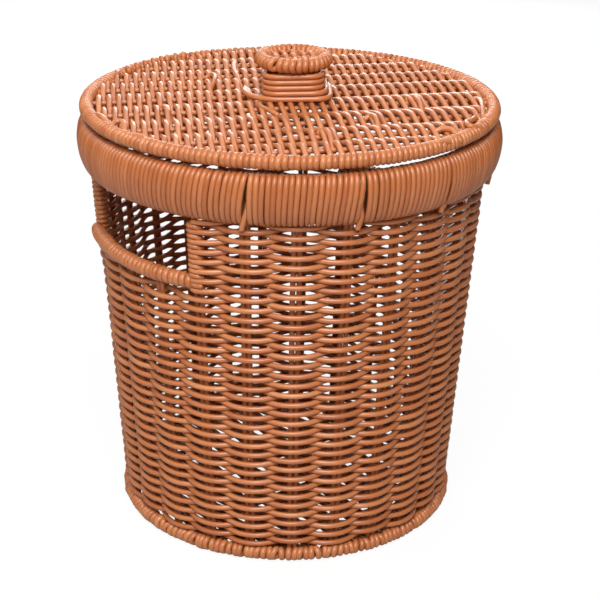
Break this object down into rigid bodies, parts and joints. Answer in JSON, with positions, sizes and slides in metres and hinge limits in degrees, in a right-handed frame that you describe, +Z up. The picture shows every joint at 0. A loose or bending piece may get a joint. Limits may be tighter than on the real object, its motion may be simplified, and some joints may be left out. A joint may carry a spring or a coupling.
{
  "type": "laundry hamper",
  "caption": "Round tapered laundry hamper woven from plastic cane over steel hoops, with a side hand opening on each side and a loose woven lid with a wound knob.",
  "frame": {"origin": "middle of the base ring, on the floor", "axes": "+Z up, -Y to the front panel, +X to the right hand opening"},
  "size_m": [0.3992, 0.4, 0.4491],
  "materials": {
    "cane": "satin round plastic cane, caramel brown",
    "wire": "bare steel wire"
  },
  "bodies": {
    "hamper": {"back_panel_strand": "cane", "base_rib_1": "cane", "base_rib_2": "cane", "base_rib_3": "cane", "base_rib_4": "cane", "base_ring": "cane", "base_strand": "cane", "front_panel_strand": "cane", "left_handle_bar": "cane", "right_handle_bar": "cane", "rim_lower_hoop": "wire", "rim_upper_hoop": "wire", "rim_winding": "cane", "stake_01": "cane", "stake_02": "cane", "stake_03": "cane", "stake_04": "cane", "stake_05": "cane", "stake_06": "cane", "stake_07": "cane", "stake_08": "cane", "stake_09": "cane", "stake_10": "cane", "stake_11": "cane", "stake_12": "cane", "stake_13": "cane", "stake_14": "cane", "stake_15": "cane", "stake_16": "cane", "stake_17": "cane", "stake_18": "cane", "stake_19": "cane", "stake_20": "cane", "stake_21": "cane", "stake_22": "cane", "stake_23": "cane", "stake_24": "cane", "stake_25": "cane", "wall_strand_1": "cane", "wall_strand_2": "cane", "wall_strand_3": "cane", "wall_strand_4": "cane"},
    "lid": {"knob_coil": "cane", "knob_rib_1": "cane", "knob_ring": "cane", "knob_strand": "cane", "knob_upright_1": "cane", "knob_upright_2": "cane", "knob_upright_3": "cane", "knob_upright_4": "cane", "lid_rib_1": "cane", "lid_rib_2": "cane", "lid_rib_3": "cane", "lid_rib_4": "cane", "lid_rib_5": "cane", "lid_rib_6": "cane", "lid_rib_7": "cane", "lid_ring": "cane", "lid_strand": "cane"}
  },
  "joints": [
    {"name": "lid_lift", "type": "slide", "parent": "hamper", "child": "lid", "axis": [0, 0, 1], "range_m": [0, 0.3]}
  ]
}
